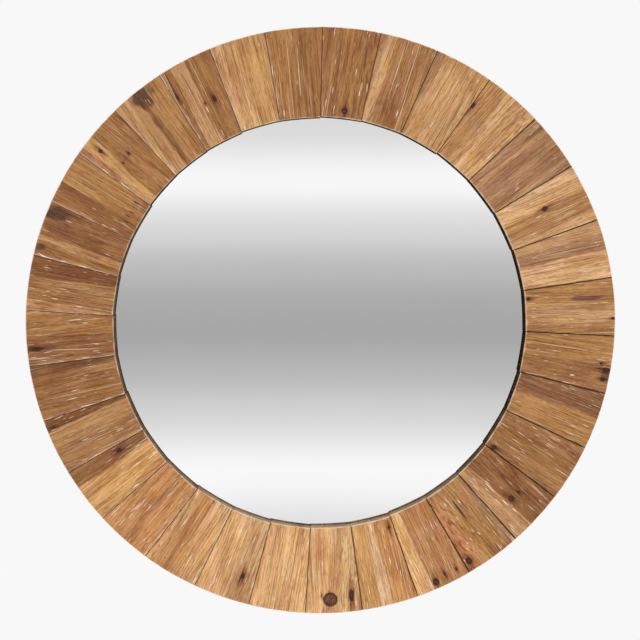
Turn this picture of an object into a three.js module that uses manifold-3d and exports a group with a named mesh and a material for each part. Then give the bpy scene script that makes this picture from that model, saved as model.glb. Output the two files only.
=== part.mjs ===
// Round wall mirror: a fan of tapered wooden staves glued onto a black board, around a round
// glass that sits back behind the staves' inner ends. Two strap hangers and four pads are on
// the back. Millimetres, +Z up. The front faces -Y, and the origin is the mirror's centre in
// the plane of the wall.
//
// The pieces are drawn lying flat, seen from the front: x to the right, y up the wall and z
// out of the wall. The last group stands them up.

import * as THREE from "three";
import Module from "manifold-3d";
import { mergeVertices } from "three/addons/utils/BufferGeometryUtils.js";

const wasm = await Module();
wasm.setup();

// ---------- Driving dimensions, in millimetres and degrees ----------

// Ring of staves
const STAVE_COUNT = 32;
const RING_RADIUS = 400;
const OPENING_RADIUS = 279.4;
const STAVE_THICKNESS = 12;
const SEAM_GAP = 0.7;
const STAVE_EASING = 0.8;
const END_SLANT = 2.1;

// The ring is laid by hand: the seams pass beside the fan's centre, which isn't the centre
// that the rim was routed about. They run ahead of an even fan and behind it, once and twice
// round the ring, and are tight on one side and open on the other, by a share of the gap. The
// inner ends face a centre of their own, from which they are turned a little. They slant more
// at the left and right than at the top and bottom, by a share of the slant.
const FAN_CENTRE = new THREE.Vector2(-3.3, -0.3);
const OPENING_CENTRE = new THREE.Vector2(-2, -0.2);
const FIRST_SEAM_ANGLE = 8.3;
const SEAM_ASIDE = 5.2;
const SEAM_LEAD = 1.1;
const MOST_LEAD_ANGLE = 68;
const SEAM_DRIFT = 0.5;
const SEAM_GAP_SWING = 0.5;
const WIDEST_SEAM_ANGLE = -30;
const END_SLANT_SWING = 0.25;
const FACE_STEP = 0.4;
const END_STEP = 0.4;
const END_TURN = -0.6;

// Board with a stepped rebate: its lip is in front of the glass
const BOARD_SETBACK = 8;
const BOARD_EASING = 1;
const LIP_THICKNESS = 4;
const LIP_SETBACK = 2.3;

// Glass, packing card and back panel
const GLASS_THICKNESS = 4;
const GLASS_OVERLAP = 9;
const GLASS_CLEARANCE = 2;
const GLASS_ARRIS = 0.5;
const PACKING_THICKNESS = 1;
const PANEL_THICKNESS = 3;
const PANEL_OVERLAP = 11;
const PANEL_CLEARANCE = 1;

// Screws that hold the back panel
const PANEL_SCREW_COUNT = 8;
const PANEL_SCREW = { headRadius: 3, headHeight: 1.8, shankRadius: 1.5, length: 10 };
const SCREW_CLEARANCE = 0.3;
const SCREW_POINT = 2.5;

// Wall pads
const PAD_RADIUS = 12;
const PAD_THICKNESS = 6;
const PAD_EASING = 1;
const PAD_ANGLES = { right: 0, top: 90, left: 180, bottom: 270 };

// Strap hangers with a wire loop
const HANGER_ANGLE = 43;
const STRAP_WIDTH = 14;
const STRAP_THICKNESS = 1;
const CURL_END_ANGLE = -115;
const WIRE_RADIUS = 1.5;
const KNUCKLE_CLEARANCE = 0.3;
const LOOP_HALF_WIDTH = 12;
const LOOP_CORNER_RADIUS = 3.5;
const WIRE_BUTT_GAP = 0.3;
const LOOP_REST_GAP = 0.3;
const HANGER_SCREW = { headRadius: 3.5, headHeight: 2, shankRadius: 1.75, length: 10 };
const HANGER_SCREW_SPACE = 2;

// Fineness of the facets
const ROUND_SEGMENTS = 96;
const STAVE_ARC_SEGMENTS = 4;
const SMALL_ROUND_SEGMENTS = 12;
const PAD_SEGMENTS = 24;
const WIRE_SIDES = 8;
const WIRE_STEPS = 40;

// ---------- Sizes that follow ----------

// Heights out of the wall
const boardBack = PAD_THICKNESS;
const panelFront = boardBack + PANEL_THICKNESS;
const glassBack = panelFront + PACKING_THICKNESS;
const glassFront = glassBack + GLASS_THICKNESS;
const boardFront = glassFront + LIP_THICKNESS;

// Radii about the middle of the ring
const boardRadius = RING_RADIUS - BOARD_SETBACK;
const lipRadius = OPENING_RADIUS + LIP_SETBACK;
const glassRadius = lipRadius + GLASS_OVERLAP;
const glassRebateRadius = glassRadius + GLASS_CLEARANCE;
const panelRadius = glassRebateRadius + PANEL_OVERLAP;
const panelRebateRadius = panelRadius + PANEL_CLEARANCE;
const panelScrewRadius = (glassRebateRadius + panelRadius) / 2;
const backFaceRadius = (panelRebateRadius + boardRadius) / 2;

// Hanger: its knuckle lies on the board and wraps the wire
const knuckleBore = WIRE_RADIUS + KNUCKLE_CLEARANCE;
const knuckleRadius = knuckleBore + STRAP_THICKNESS;
const loopHeight = LOOP_CORNER_RADIUS + LOOP_HALF_WIDTH;
const loopLean = Math.asin((knuckleRadius - WIRE_RADIUS - LOOP_REST_GAP) / loopHeight);
const upperHangerScrew = loopHeight / 2;
const lowerHangerScrew = loopHeight + WIRE_RADIUS + HANGER_SCREW.headRadius + HANGER_SCREW_SPACE;
const strapLength = lowerHangerScrew + STRAP_WIDTH / 2;

// ---------- Materials ----------

const finish = (color, roughness, metalness = 0) =>
  new THREE.MeshStandardMaterial({ color, roughness, metalness });

const WOOD_FINISHES = [
  finish(0xd0a67b, 0.72),
  finish(0xb98a60, 0.75),
  finish(0xa97a4c, 0.75),
  finish(0x8f6a4c, 0.8),
];
const SILVERED_GLASS = finish(0xd8dbdc, 0.03, 1);
const BLACK_BOARD = finish(0x1d1a18, 0.85);
const GREY_CARD = finish(0x9a8c78, 0.95);
const HARDBOARD = finish(0x7b5a3c, 0.8);
const ZINC_STEEL = finish(0xb9bcc0, 0.35, 1);
const BLACK_RUBBER = finish(0x232324, 0.9);

// ---------- Joining and cutting ----------

function solidOf(geometry) {
  const bare = geometry.clone();
  bare.deleteAttribute("normal");
  bare.deleteAttribute("uv");
  const merged = mergeVertices(bare);
  return new wasm.Manifold(new wasm.Mesh({
    numProp: 3,
    vertProperties: merged.attributes.position.array,
    triVerts: Uint32Array.from(merged.index.array),
  }));
}

function geometryOf(solid) {
  const mesh = solid.getMesh();
  const geometry = new THREE.BufferGeometry();
  geometry.setAttribute("position", new THREE.BufferAttribute(mesh.vertProperties, mesh.numProp));
  geometry.setIndex(new THREE.BufferAttribute(mesh.triVerts, 1));
  geometry.computeVertexNormals();
  return geometry;
}

// ---------- Shared forms ----------

const radians = THREE.MathUtils.degToRad;

const pointAt = (radius, angle) =>
  new THREE.Vector2(radius * Math.cos(angle), radius * Math.sin(angle));

// A piece named for the assembly, with its shape and finish
function piece(name, geometry, material) {
  const mesh = new THREE.Mesh(geometry, material);
  mesh.name = name;
  return mesh;
}

// A round piece about the z axis, from the points (radius, height) of half its section
function turned(points, segments) {
  const profile = points.map(([radius, height]) => new THREE.Vector2(radius, height));
  return new THREE.LatheGeometry(profile, segments).rotateX(Math.PI / 2);
}

function disc(radius, bottom, top, segments) {
  return turned([[0, bottom], [radius, bottom], [radius, top], [0, top]], segments);
}

// A plain drill for the hole of a screw, from one height to another
function drill(screw, x, y, bottom, top) {
  const radius = screw.shankRadius + SCREW_CLEARANCE;
  return solidOf(disc(radius, bottom, top, SMALL_ROUND_SEGMENTS).translate(x, y, 0));
}

// A domed screw pointing up the z axis, with the underside of its head at height 0
function screwGeometry({ headRadius, headHeight, shankRadius, length }) {
  const domeSteps = 3;
  const rim = headHeight / 4;
  const points = [];
  for (let step = 0; step <= domeSteps; step++) {
    const angle = (step / domeSteps) * (Math.PI / 2);
    const drop = (headHeight - rim) * Math.cos(angle);
    points.push([headRadius * Math.sin(angle), -rim - drop]);
  }
  points.push([headRadius, 0]);
  points.push([shankRadius, 0]);
  points.push([shankRadius, length - SCREW_POINT]);
  points.push([0, length]);
  return turned(points, SMALL_ROUND_SEGMENTS);
}

// ---------- Ring of staves ----------

// Small differences between neighbours, from -1 to 1
const unevenness = (index, start) => Math.sin(2.4 * index + start);

// A seam is a line out from beside the fan's centre. Its side moves it by half the gap, into
// its stave.
function seamSide(index, side) {
  const evenAngle = radians(FIRST_SEAM_ANGLE + (index * 360) / STAVE_COUNT);
  const lead = SEAM_LEAD * Math.cos(evenAngle - radians(MOST_LEAD_ANGLE));
  const angle = evenAngle + radians(lead - SEAM_DRIFT * Math.cos(2 * evenAngle));
  const direction = pointAt(1, angle);
  const across = pointAt(1, angle + Math.PI / 2);
  const openness = Math.cos(evenAngle - radians(WIDEST_SEAM_ANGLE));
  const gap = SEAM_GAP * (1 + SEAM_GAP_SWING * openness);
  const start = FAN_CENTRE.clone().addScaledVector(across, SEAM_ASIDE + (side * gap) / 2);
  return { angle, direction, start };
}

// Where a seam's side meets the routed rim
function atRim({ start, direction }) {
  const along = start.dot(direction);
  const reach = Math.sqrt(along * along - start.lengthSq() + RING_RADIUS * RING_RADIUS) - along;
  return start.clone().addScaledVector(direction, reach);
}

// Where a seam's side meets a stave's straight inner end
function atInnerEnd({ start, direction }, facing, distance) {
  const reach = (distance - start.dot(facing)) / direction.dot(facing);
  return start.clone().addScaledVector(direction, reach);
}

// The direction out from the opening that a stave's inner end is square to, how far along it
// the front of the end is, and how much further in the back of the end is
function innerEndOf(index) {
  const angle = (seamSide(index, 1).angle + seamSide(index + 1, -1).angle) / 2;
  const middle = FAN_CENTRE.clone().add(pointAt(SEAM_ASIDE, angle + Math.PI / 2));
  middle.add(pointAt(OPENING_RADIUS, angle));
  const facing = pointAt(1, middle.sub(OPENING_CENTRE).angle() + radians(END_TURN));
  const distance = OPENING_CENTRE.dot(facing) + OPENING_RADIUS + END_STEP * unevenness(index, 1);
  const slant = END_SLANT * (1 + END_SLANT_SWING * Math.cos(2 * angle));
  return { facing, distance, slant };
}

// The outline of one stave's blank: two seams, a stretch of the rim, and an inner end that
// leaves wood for the saw
function blankOutline(index) {
  const lower = seamSide(index, 1);
  const upper = seamSide(index + 1, -1);
  const { facing, distance, slant } = innerEndOf(index);
  const rough = distance - 2 * slant - STAVE_EASING;
  const innerLower = atInnerEnd(lower, facing, rough);
  const innerUpper = atInnerEnd(upper, facing, rough);
  const outline = new THREE.Shape();
  outline.absarc(0, 0, RING_RADIUS, atRim(lower).angle(), atRim(upper).angle(), false);
  outline.lineTo(innerUpper.x, innerUpper.y);
  outline.lineTo(innerLower.x, innerLower.y);
  return outline;
}

// Everything that lies in front of the board
function spaceBeforeBoard() {
  const size = 3 * RING_RADIUS;
  const box = new THREE.BoxGeometry(size, size, size);
  return solidOf(box.translate(0, 0, boardFront + size / 2));
}

// Cuts away what lies inward of a plane across a stave. The plane faces out from the opening,
// at a distance from the origin at one height, and its back reaches further in by the slope.
function sawAcross(solid, facing, distance, height, slope) {
  const normal = new THREE.Vector3(facing.x, facing.y, -slope);
  const offset = (distance - slope * height) / normal.length();
  return solid.trimByPlane(normal.normalize().toArray(), offset);
}

// The front edges of a stave are rounded over, and its back is left square for the glue. Its
// inner end is sawn at a slant that shows from the front, and its arris is eased too.
function staveGeometry(index, beforeBoard) {
  const faceDrop = FACE_STEP * (0.5 + 0.5 * unevenness(index, 0));
  const eased = new THREE.ExtrudeGeometry(blankOutline(index), {
    depth: STAVE_THICKNESS - faceDrop - STAVE_EASING,
    curveSegments: STAVE_ARC_SEGMENTS,
    bevelThickness: STAVE_EASING,
    bevelSize: STAVE_EASING,
    bevelOffset: -STAVE_EASING,
    bevelSegments: 2,
  });
  const blank = solidOf(eased.translate(0, 0, boardFront)).intersect(beforeBoard);
  const { facing, distance, slant } = innerEndOf(index);
  const front = boardFront + STAVE_THICKNESS - faceDrop;
  const slanted = sawAcross(blank, facing, distance, front, slant / STAVE_THICKNESS);
  return geometryOf(sawAcross(slanted, facing, distance + STAVE_EASING, front, 1));
}

function ringOfStaves() {
  const ring = new THREE.Group();
  const beforeBoard = spaceBeforeBoard();
  for (let index = 0; index < STAVE_COUNT; index++) {
    const name = `stave_${String(index + 1).padStart(2, "0")}`;
    const tone = WOOD_FINISHES[(index * 3) % WOOD_FINISHES.length];
    ring.add(piece(name, staveGeometry(index, beforeBoard), tone));
  }
  return ring;
}

// ---------- Board, glass, card and back panel ----------

// The places of the panel screws, evenly round the rebate's step
function panelScrewPlaces() {
  const places = [];
  for (let index = 0; index < PANEL_SCREW_COUNT; index++) {
    places.push(pointAt(panelScrewRadius, ((index + 0.5) * 2 * Math.PI) / PANEL_SCREW_COUNT));
  }
  return places;
}

// The hangers' knuckles, left and right as seen from the front
function hangerPlaces() {
  const right = pointAt(backFaceRadius, radians(HANGER_ANGLE));
  return { left: new THREE.Vector2(-right.x, right.y), right };
}

function hangerScrewPlaces(place) {
  return [upperHangerScrew, lowerHangerScrew].map((drop) => new THREE.Vector2(place.x, place.y - drop));
}

function backingBoard() {
  const section = [
    [boardRadius - BOARD_EASING, boardBack],
    [boardRadius, boardBack + BOARD_EASING],
    [boardRadius, boardFront],
    [lipRadius, boardFront],
    [lipRadius, glassFront],
    [glassRebateRadius, glassFront],
    [glassRebateRadius, panelFront],
    [panelRebateRadius, panelFront],
    [panelRebateRadius, boardBack],
    [boardRadius - BOARD_EASING, boardBack],
  ];
  let board = solidOf(turned(section, ROUND_SEGMENTS));
  for (const place of panelScrewPlaces()) {
    const top = boardBack + PANEL_SCREW.length + SCREW_CLEARANCE;
    board = board.subtract(drill(PANEL_SCREW, place.x, place.y, boardBack, top));
  }
  for (const place of Object.values(hangerPlaces()).flatMap(hangerScrewPlaces)) {
    const bottom = boardBack - SCREW_CLEARANCE;
    const top = boardBack + HANGER_SCREW.length + SCREW_CLEARANCE;
    board = board.subtract(drill(HANGER_SCREW, place.x, place.y, bottom, top));
  }
  return piece("backing_board", geometryOf(board), BLACK_BOARD);
}

// The sharp edges of the glass are ground off
function mirrorGlass() {
  const section = [
    [0, glassBack],
    [glassRadius - GLASS_ARRIS, glassBack],
    [glassRadius, glassBack + GLASS_ARRIS],
    [glassRadius, glassFront - GLASS_ARRIS],
    [glassRadius - GLASS_ARRIS, glassFront],
    [0, glassFront],
  ];
  return piece("mirror_glass", turned(section, ROUND_SEGMENTS), SILVERED_GLASS);
}

function packingCard() {
  return piece("packing_card", disc(glassRadius, panelFront, glassBack, ROUND_SEGMENTS), GREY_CARD);
}

function backPanel() {
  let panel = solidOf(disc(panelRadius, boardBack, panelFront, ROUND_SEGMENTS));
  for (const place of panelScrewPlaces()) {
    const bottom = boardBack - SCREW_CLEARANCE;
    const top = panelFront + SCREW_CLEARANCE;
    panel = panel.subtract(drill(PANEL_SCREW, place.x, place.y, bottom, top));
  }
  return piece("back_panel", geometryOf(panel), HARDBOARD);
}

function panelScrews() {
  const screws = new THREE.Group();
  const shape = screwGeometry(PANEL_SCREW);
  panelScrewPlaces().forEach((place, index) => {
    const screw = piece(`panel_screw_${index + 1}`, shape, ZINC_STEEL);
    screw.position.set(place.x, place.y, boardBack);
    screws.add(screw);
  });
  return screws;
}

// ---------- Strap hangers ----------

// The strap seen from its side: x away from the board, y up, curled round the wire at the top
function strapSection() {
  const start = Math.PI;
  const end = radians(CURL_END_ANGLE);
  const section = new THREE.Shape();
  section.absarc(knuckleRadius, 0, knuckleRadius, start, end, true);
  section.absarc(knuckleRadius, 0, knuckleBore, end, start, false);
  section.lineTo(STRAP_THICKNESS, -strapLength);
  section.lineTo(0, -strapLength);
  return section;
}

// The strap seen from the back: square at the knuckle, round at the foot, with two holes
function strapPlan() {
  const half = STRAP_WIDTH / 2;
  const plan = new THREE.Shape();
  plan.moveTo(half, 2 * knuckleRadius);
  plan.lineTo(-half, 2 * knuckleRadius);
  plan.absarc(0, -lowerHangerScrew, half, Math.PI, 2 * Math.PI, false);
  for (const drop of [upperHangerScrew, lowerHangerScrew]) {
    const hole = new THREE.Path();
    hole.absarc(0, -drop, HANGER_SCREW.shankRadius + SCREW_CLEARANCE, 0, 2 * Math.PI, true);
    plan.holes.push(hole);
  }
  return plan;
}

function strapGeometry() {
  const bend = new THREE.ExtrudeGeometry(strapSection(), {
    depth: STRAP_WIDTH,
    curveSegments: SMALL_ROUND_SEGMENTS,
    bevelEnabled: false,
  });
  bend.translate(0, 0, -STRAP_WIDTH / 2).rotateY(Math.PI / 2);
  const height = 4 * knuckleRadius;
  const blank = new THREE.ExtrudeGeometry(strapPlan(), {
    depth: height,
    curveSegments: SMALL_ROUND_SEGMENTS,
    bevelEnabled: false,
  });
  blank.translate(0, 0, -height / 2 - knuckleRadius);
  return geometryOf(solidOf(bend).intersect(solidOf(blank)));
}

// The wire's centre line: a D with its straight bar in the knuckle, where its two ends meet
class LoopLine extends THREE.Curve {
  constructor() {
    super();
    const corner = LOOP_CORNER_RADIUS;
    const across = LOOP_HALF_WIDTH - corner;
    this.outline = new THREE.Path();
    this.outline.moveTo(WIRE_BUTT_GAP / 2, 0);
    this.outline.lineTo(across, 0);
    this.outline.absarc(across, corner, corner, -Math.PI / 2, 0, false);
    this.outline.absarc(0, corner, LOOP_HALF_WIDTH, 0, Math.PI, false);
    this.outline.absarc(-across, corner, corner, Math.PI, 1.5 * Math.PI, false);
    this.outline.lineTo(-WIRE_BUTT_GAP / 2, 0);
  }

  getPoint(share, target = new THREE.Vector3()) {
    const point = this.outline.getPoint(share);
    return target.set(point.x, point.y, 0);
  }
}

function wireSection() {
  const section = new THREE.Shape();
  section.absarc(0, 0, WIRE_RADIUS, 0, 2 * Math.PI, false);
  return section;
}

function loopGeometry() {
  return new THREE.ExtrudeGeometry(wireSection(), {
    extrudePath: new LoopLine(),
    steps: WIRE_STEPS,
    curveSegments: WIRE_SIDES / 2,
    bevelEnabled: false,
  });
}

// The loop stands up from its knuckle and leans on the board
function hanger(side, place) {
  const group = new THREE.Group();
  group.add(piece(`hanger_strap_${side}`, strapGeometry(), ZINC_STEEL));
  const loop = piece(`hanger_loop_${side}`, loopGeometry(), ZINC_STEEL);
  loop.position.z = -knuckleRadius;
  loop.rotation.x = loopLean;
  group.add(loop);
  [upperHangerScrew, lowerHangerScrew].forEach((drop, index) => {
    const screw = piece(`hanger_screw_${side}_${index + 1}`, screwGeometry(HANGER_SCREW), ZINC_STEEL);
    screw.position.set(0, -drop, -STRAP_THICKNESS);
    group.add(screw);
  });
  group.position.set(place.x, place.y, boardBack);
  return group;
}

function hangers() {
  const pair = new THREE.Group();
  for (const [side, place] of Object.entries(hangerPlaces())) {
    pair.add(hanger(side, place));
  }
  return pair;
}

// ---------- Wall pads ----------

function wallPads() {
  const pads = new THREE.Group();
  const shape = turned([
    [0, 0],
    [PAD_RADIUS - PAD_EASING, 0],
    [PAD_RADIUS, PAD_EASING],
    [PAD_RADIUS, PAD_THICKNESS],
    [0, PAD_THICKNESS],
  ], PAD_SEGMENTS);
  for (const [side, angle] of Object.entries(PAD_ANGLES)) {
    const place = pointAt(backFaceRadius, radians(angle));
    const pad = piece(`wall_pad_${side}`, shape, BLACK_RUBBER);
    pad.position.set(place.x, place.y, 0);
    pads.add(pad);
  }
  return pads;
}

// ---------- The whole mirror, stood up against the wall ----------

const mirror = new THREE.Group();
mirror.add(ringOfStaves(), backingBoard(), mirrorGlass(), packingCard(), backPanel());
mirror.add(panelScrews(), hangers(), wallPads());
mirror.rotation.x = Math.PI / 2;

export default mirror;
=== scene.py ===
"""Looks of the round wall mirror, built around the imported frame: 32 old softwood staves, the
silvered glass, and the board, panel, hangers and pads behind them. Metres, +Z up. The front
faces -Y, and the origin is the mirror's centre in the plane of the wall."""

import functools
import math

import bmesh
import bpy
import numpy as np
from mathutils import Matrix, Vector


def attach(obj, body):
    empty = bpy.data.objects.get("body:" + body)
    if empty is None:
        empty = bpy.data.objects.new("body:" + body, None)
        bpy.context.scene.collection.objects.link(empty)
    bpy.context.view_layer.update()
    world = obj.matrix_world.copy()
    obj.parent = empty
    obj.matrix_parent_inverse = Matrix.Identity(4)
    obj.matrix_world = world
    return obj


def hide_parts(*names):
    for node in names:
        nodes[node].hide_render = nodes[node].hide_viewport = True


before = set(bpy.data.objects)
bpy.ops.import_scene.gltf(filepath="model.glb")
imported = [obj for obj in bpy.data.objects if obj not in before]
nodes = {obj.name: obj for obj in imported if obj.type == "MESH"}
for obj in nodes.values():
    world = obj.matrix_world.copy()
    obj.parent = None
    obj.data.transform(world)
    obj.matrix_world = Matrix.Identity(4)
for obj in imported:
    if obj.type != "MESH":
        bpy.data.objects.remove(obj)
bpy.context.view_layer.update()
scene = bpy.context.scene

MM = 0.001

# ---------- Sizes that the frame has too, in millimetres ----------

RING_RADIUS = 400
STAVE_FRONT = 30
STAVE_BACK = 18
FACE_STEP = 0.4
END_SLANT = 2.1
END_SLANT_SWING = 0.25
SEAM_GAP = 0.7
SEAM_GAP_SWING = 0.5
WIDEST_SEAM_ANGLE = math.radians(-30)
BOARD_RADIUS = 392
LIP_RADIUS = 281.7
GLASS_REBATE_RADIUS = 292.7
PANEL_REBATE_RADIUS = 304.7
PANEL_RADIUS = 303.7
PANEL_SCREW_RADIUS = 298.2
PAD_CENTRE_RADIUS = 348.35
PAD_RADIUS = 12
BOARD_BACK = 6
PANEL_FRONT = 9
GLASS_FRONT = 14

# ---------- Camera, at the photograph's distance and angle ----------

CAMERA_DISTANCE = 2.56
CAMERA_AZIMUTH = math.radians(-1.7)
CAMERA_ELEVATION = math.radians(6.0)
CAMERA_LENS = 106.17
AIM_LEFT = 2.3 * MM
AIM_UP = 6.45 * MM


def add_camera():
    azimuth, elevation = CAMERA_AZIMUTH, CAMERA_ELEVATION
    back = Vector((
        math.sin(azimuth) * math.cos(elevation),
        -math.cos(azimuth) * math.cos(elevation),
        math.sin(elevation),
    ))
    right = Vector((math.cos(azimuth), math.sin(azimuth), 0))
    face_centre = Vector((0, -STAVE_FRONT * MM, 0))
    place = face_centre + CAMERA_DISTANCE * back
    aim = face_centre - AIM_LEFT * right + AIM_UP * back.cross(right)
    data = bpy.data.cameras.new("camera")
    data.sensor_width = 36
    data.lens = CAMERA_LENS
    camera = bpy.data.objects.new("camera", data)
    camera.location = place
    camera.rotation_euler = (aim - place).to_track_quat("-Z", "Y").to_euler()
    scene.collection.objects.link(camera)
    scene.camera = camera


add_camera()

# ---------- Colours and nodes ----------


def colour(code):
    """An sRGB hex colour as linear red, green, blue and alpha."""
    shares = [int(code[place:place + 2], 16) / 255 for place in (1, 3, 5)]
    return [s / 12.92 if s <= 0.04045 else ((s + 0.055) / 1.055) ** 2.4 for s in shares] + [1]


def add(tree, kind, *inputs, **settings):
    """Adds a node of a kind, which its operation may follow, with its settings. Its inputs come
    in their order, or in a dict by their names, and are set or linked."""
    kind, _, operation = kind.partition(" ")
    node = tree.nodes.new("ShaderNode" + kind)
    if operation:
        node.operation = operation
    for name, value in settings.items():
        setattr(node, name, value)
    named = inputs and isinstance(inputs[0], dict)
    for key, value in inputs[0].items() if named else enumerate(inputs):
        if isinstance(key, int):
            socket = node.inputs[key]
        else:
            socket = next(s for s in node.inputs if s.enabled and s.name == key)
        if isinstance(value, bpy.types.Node):
            value = next(s for s in value.outputs if s.enabled)
        if isinstance(value, bpy.types.NodeSocket):
            tree.links.new(value, socket)
        else:
            socket.default_value = value
    return node


def cleared(tree):
    """Empties a node tree, and gives the function that adds nodes to it."""
    tree.nodes.clear()
    return functools.partial(add, tree)


def new_tree(name):
    """A material, and the function that adds nodes to its empty tree."""
    material = bpy.data.materials.new(name)
    material.use_nodes = True
    return material, cleared(material.node_tree)


# ---------- Wood ----------

# Old pine and fir, planed, waxed and worn: honey to umber, with mauve streaks of heartwood
TONES = dict(
    cream="#F0C286", linen="#E6BE8F", wheat="#EABA80", straw="#DBB07C",
    amber="#DAA968", sand="#D5AA74", honey="#D0A468", orange="#D0995F",
    biscuit="#C89D6C", ginger="#C38E5A", fawn="#BF925F", tan="#B68751",
    rose="#AF8660", nut="#AC7E4E", oak="#A37444", brown="#996A3F",
    mauve="#926643", umber="#82552F", plum="#6E4843", coffee="#54352A",
)
# The grain's layers take a little more blue than red from a stripe, and this gives it back.
TONE_TRIM = np.array([1.0, 1.01, 1.05])

# Each pattern's size in millimetres along the grain, across it and into the wood, with the
# noise's detail. Rings 1 to 4 mm apart, bands and blotches are at their real scale. Brushed
# lines and pores are really 0.2 to 0.5 mm wide, hairlines and flecks 0.3 to 0.8 mm: those four
# are drawn at about 1 mm, because finer ones don't show from 2.5 m.
GRAIN_PATTERNS = {
    "bands": (140, 9, 9, 2),
    "blotches": (60, 20, 20, 3),
    "hues": (45, 5.0, 5.0, 2),
    "rings": (150, 3.4, 3.4, 2),
    "lines": (70, 1.0, 1.0, 1),
    "pores": (9, 0.9, 0.9, 1),
    "hairlines": (110, 1.2, 1.2, 0),
    "flecks": (17, 0.9, 0.9, 0),
    "fleck patches": (45, 10, 10, 2),
    "specks": (2.2, 1.6, 1.6, 2),
    "smudges": (16, 10, 10, 4),
}
PATTERN_ROUGHNESS = 0.55

# What each pattern does to the colour: where it starts and is full, how strong, and its colour
GRAIN_LAYERS = (
    ("bands", 0.42, 0.68, 0.50, "MULTIPLY", "#C9AE93"),
    ("bands", 0.55, 0.34, 0.32, "SCREEN", "#3A2C17"),
    ("blotches", 0.45, 0.72, 0.50, "MULTIPLY", "#C4A08B"),
    ("hues", 0.53, 0.66, 0.60, "MULTIPLY", "#FFE9F6"),
    ("hues", 0.47, 0.34, 0.70, "MULTIPLY", "#FFF8D2"),
    ("rings", 0.48, 0.66, 0.26, "MULTIPLY", "#BE9A78"),
    ("rings", 0.50, 0.32, 0.16, "SCREEN", "#40321C"),
    ("lines", 0.51, 0.63, 0.56, "MULTIPLY", "#A67F66"),
    ("lines", 0.46, 0.30, 0.28, "SCREEN", "#5A4730"),
    ("pores", 0.53, 0.66, 0.40, "MULTIPLY", "#90685A"),
    ("pores", 0.46, 0.34, 0.20, "SCREEN", "#6A5A44"),
    ("hairlines", 0.74, 0.78, 0.45, "MIX", "#E6CCA8"),
)

# Knots. In millimetres: the pattern that makes their edges ragged and how far it moves them,
# where the dark ring and the paler middle start and are full, and the radius past which the
# stain spreads no further. In radii: where the stain starts, and how far the grain gives way.
KNOT_EDGE_PATTERN = (5, 2.5, 2.5)
KNOT_EDGE_WANDER = 1.7
KNOT_RING = {"From Min": -0.6, "From Max": 0.8}
KNOT_MIDDLE = {"From Min": 1.8, "From Max": 5.5}
WIDE_KNOT = 3.5
KNOT_STAIN = {"From Min": 1.9, "From Max": 0.5}
STAIN_LENGTHENED = (0.4, 1, 0)
STAIN_WANDER = 0.4
STAIN_STRENGTH = 1.5
HEART_STRENGTH = 0.92
HEART_SPECKS = {"From Min": 0.4, "From Max": 0.6}
GRAIN_BEND = -0.85

# The other marks: where each starts and is full in its pattern, and how strong it gets
MORE_FLECKS = 0.1
FLECK_EDGE = {"From Min": 0.82, "From Max": 0.87, "To Max": 0.9}
FLECK_PATCH = {"From Min": 0.42, "From Max": 0.54}
RAGGED_MARK = {"To Min": -0.5, "To Max": 0.5}
MARK_EDGE = {"From Min": 1.1, "From Max": 0.6}
WORN_BARE = {"From Min": 0.75, "From Max": 1.15, "To Max": 0.85}

# The brushed lines and the flecks sink, and the rings stand up. Wax alone makes the wood shine.
LINES_SINK = -0.6
FLECKS_SINK = -0.3
RELIEF = {"Strength": 0.55, "Distance": 0.35 * MM}
WAX_SHEEN = {"To Min": 0.5, "To Max": 0.74}
WAX_SPECULAR = 0.35


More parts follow.
